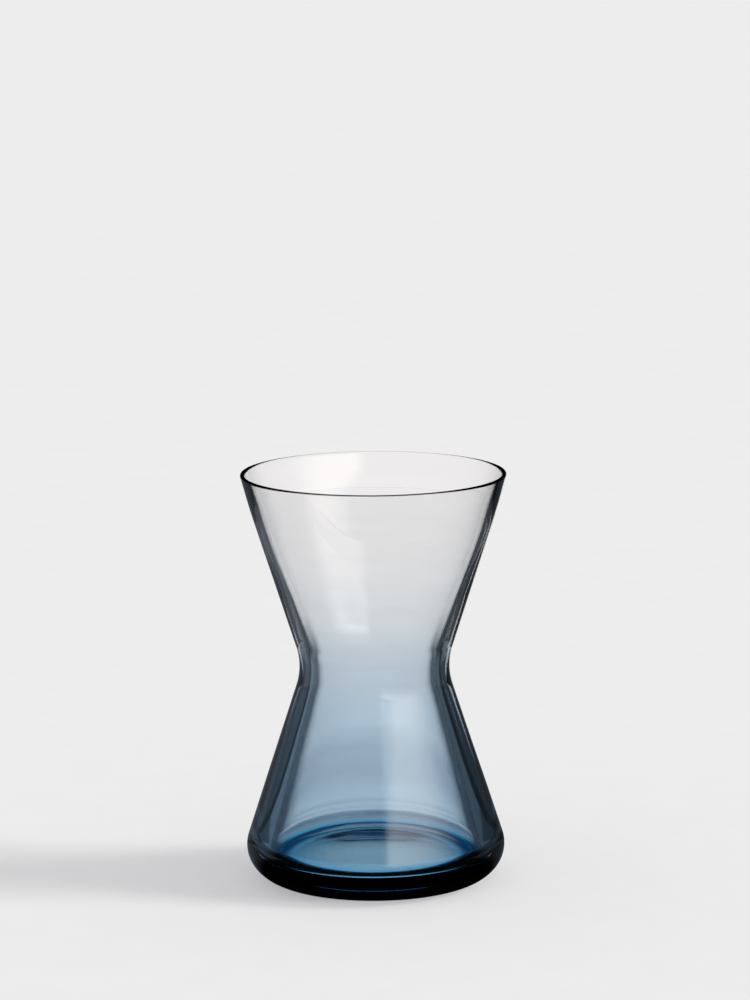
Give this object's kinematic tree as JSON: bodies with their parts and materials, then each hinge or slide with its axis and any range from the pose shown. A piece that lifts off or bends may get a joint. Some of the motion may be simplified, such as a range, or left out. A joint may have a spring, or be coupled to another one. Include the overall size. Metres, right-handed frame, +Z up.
{
  "type": "mini vase",
  "caption": "Small hourglass vase of blown glass: clear casing over a blue core, thick solid foot, narrow waist and thin open rim.",
  "frame": {"origin": "centre of the base, in the plane that the vase stands on", "axes": "+Z up along the axis of the vase, from the base to the open rim; +X and +Y are alike"},
  "size_m": [0.077, 0.077, 0.12],
  "materials": {
    "clear_glass": "polished, colourless",
    "blue_glass": "polished, transparent steel blue"
  },
  "bodies": {
    "root": {"clear_casing": "clear_glass", "blue_core": "blue_glass"}
  },
  "joints": []
}
